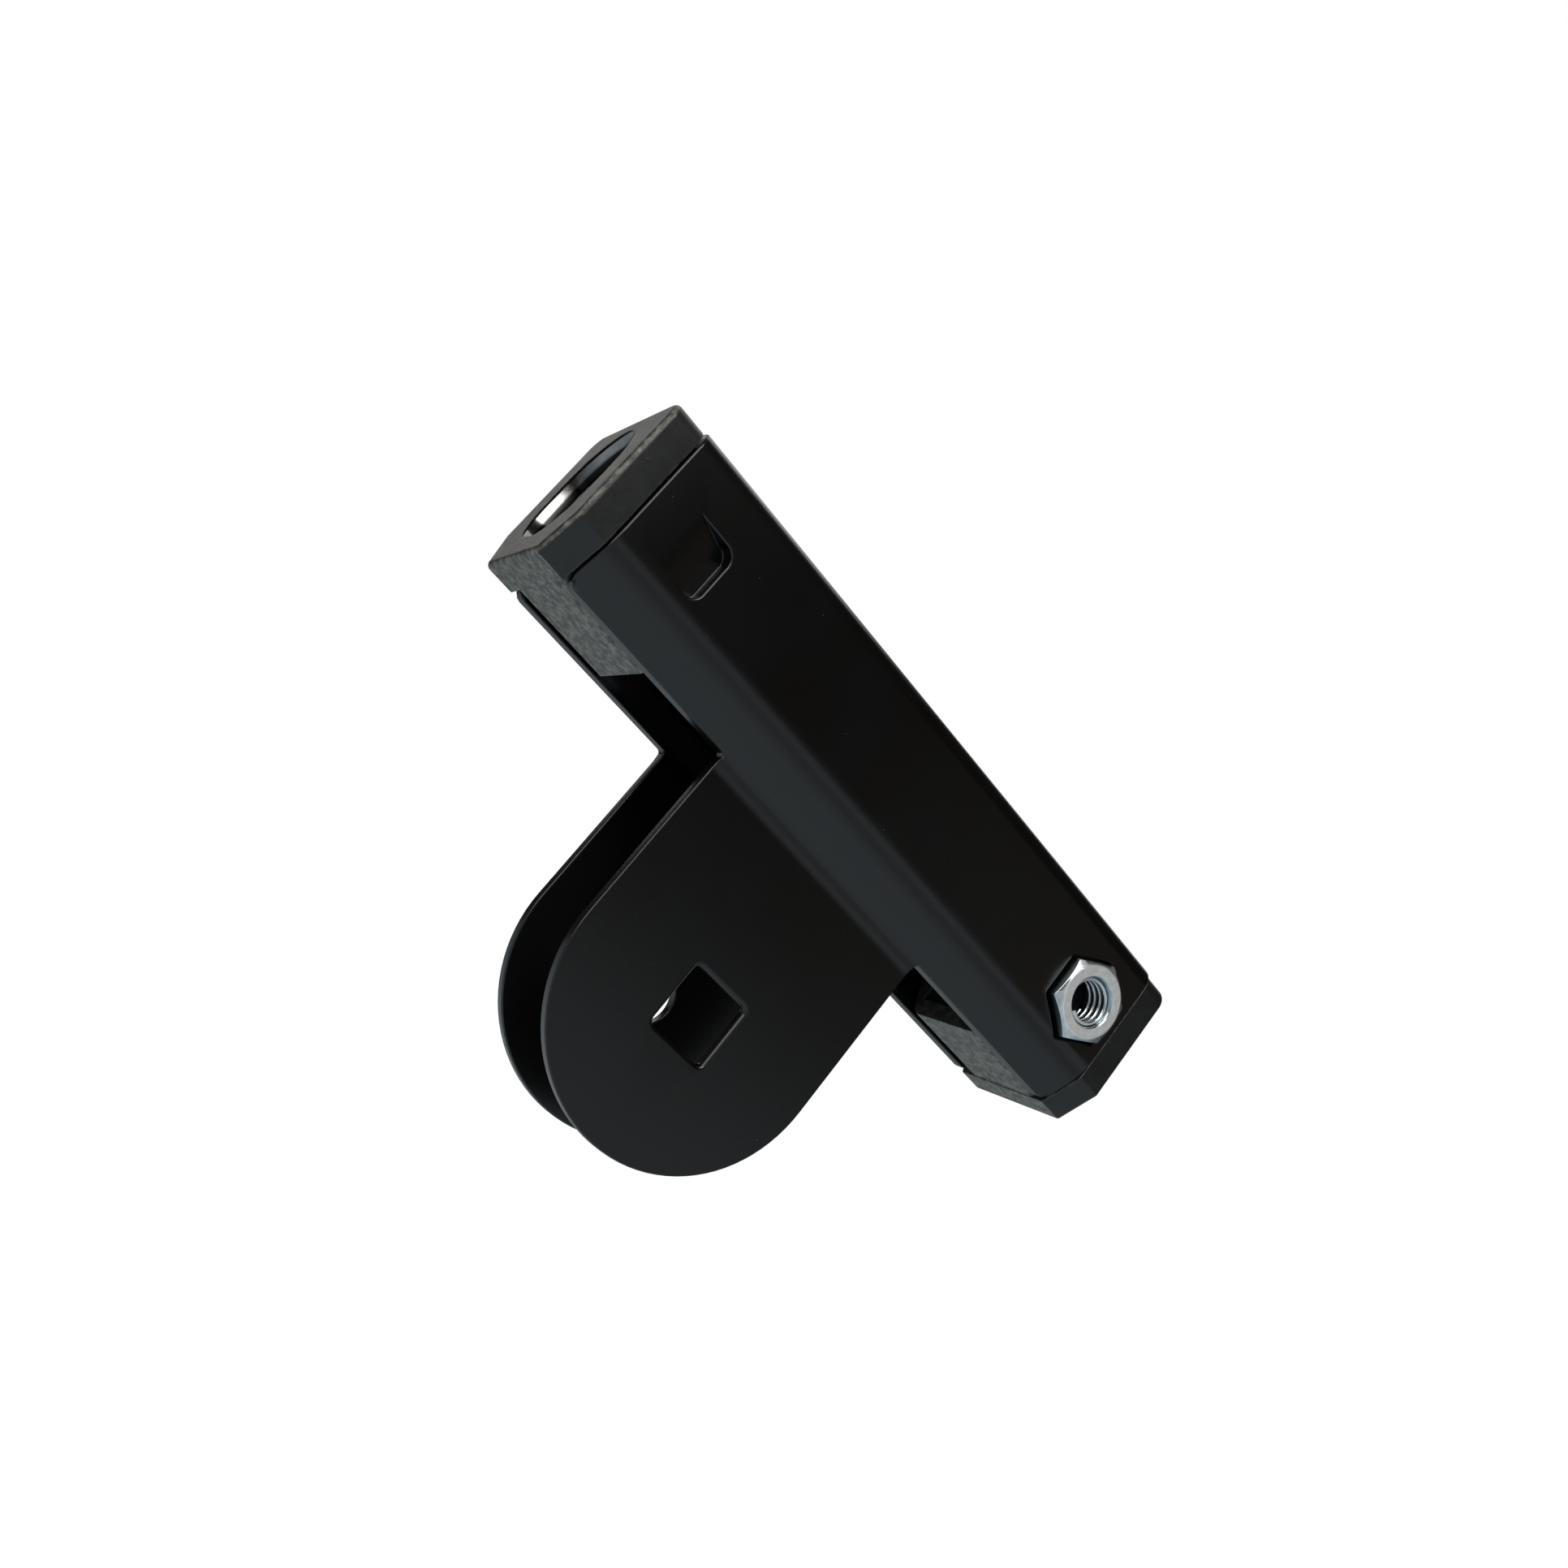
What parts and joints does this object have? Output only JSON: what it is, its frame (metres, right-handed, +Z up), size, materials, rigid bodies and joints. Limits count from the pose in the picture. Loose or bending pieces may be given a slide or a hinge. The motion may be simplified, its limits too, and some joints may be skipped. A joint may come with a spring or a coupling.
{
  "type": "zip line trolley",
  "caption": "Folded steel zip line trolley with plastic end caps, oval cable guide rings, grooved ball bearing rollers inside and two hanging lobes, the near one with a square bolt hole.",
  "frame": {"origin": "on the centreline of the cable, halfway along the trolley", "axes": "+X along the cable, +Y across it, +Z up towards the closed fold; the lobes hang towards -Z"},
  "size_m": [0.1584, 0.043, 0.1015],
  "materials": {
    "housing_coat": "black powder coat, semi gloss",
    "cap_plastic": "black moulded nylon, fine matt grain",
    "ring_steel": "bright drawn stainless",
    "zinc": "bright zinc plating",
    "roller_steel": "turned and hardened steel",
    "bearing_steel": "ground bearing steel",
    "cage_nylon": "natural glass filled nylon",
    "shield_steel": "pressed steel shield"
  },
  "bodies": {
    "root": {"housing": "housing_coat", "end_cap_front": "cap_plastic", "guide_ring_front": "ring_steel", "lock_nut_front": "zinc", "axle_front": "bearing_steel", "inner_ring_front": "bearing_steel", "spacers_front": "zinc", "end_cap_rear": "cap_plastic", "guide_ring_rear": "ring_steel", "lock_nut_rear": "zinc", "axle_rear": "bearing_steel", "inner_ring_rear": "bearing_steel", "spacers_rear": "zinc"},
    "front_roller": {"roller_front": "roller_steel", "shields_front": "shield_steel"},
    "front_ball_set": {"balls_front": "bearing_steel", "ball_cages_front": "cage_nylon"},
    "rear_roller": {"roller_rear": "roller_steel", "shields_rear": "shield_steel"},
    "rear_ball_set": {"balls_rear": "bearing_steel", "ball_cages_rear": "cage_nylon"}
  },
  "joints": [
    {"name": "front_roller_spin", "type": "hinge", "parent": "root", "child": "front_roller", "pos_m": [0.045, 0, 0.0121], "axis": [0, 1, 0], "continuous": true},
    {"name": "front_ball_set_orbit", "type": "hinge", "parent": "root", "child": "front_ball_set", "pos_m": [0.045, 0, 0.0121], "axis": [0, 1, 0], "continuous": true},
    {"name": "rear_roller_spin", "type": "hinge", "parent": "root", "child": "rear_roller", "pos_m": [-0.045, 0, 0.0121], "axis": [0, 1, 0], "continuous": true},
    {"name": "rear_ball_set_orbit", "type": "hinge", "parent": "root", "child": "rear_ball_set", "pos_m": [-0.045, 0, 0.0121], "axis": [0, 1, 0], "continuous": true}
  ],
  "couplings": [
    {"joint": "front_ball_set_orbit", "follows": "front_roller_spin", "ratio": 0.60938},
    {"joint": "rear_ball_set_orbit", "follows": "rear_roller_spin", "ratio": 0.60938}
  ]
}
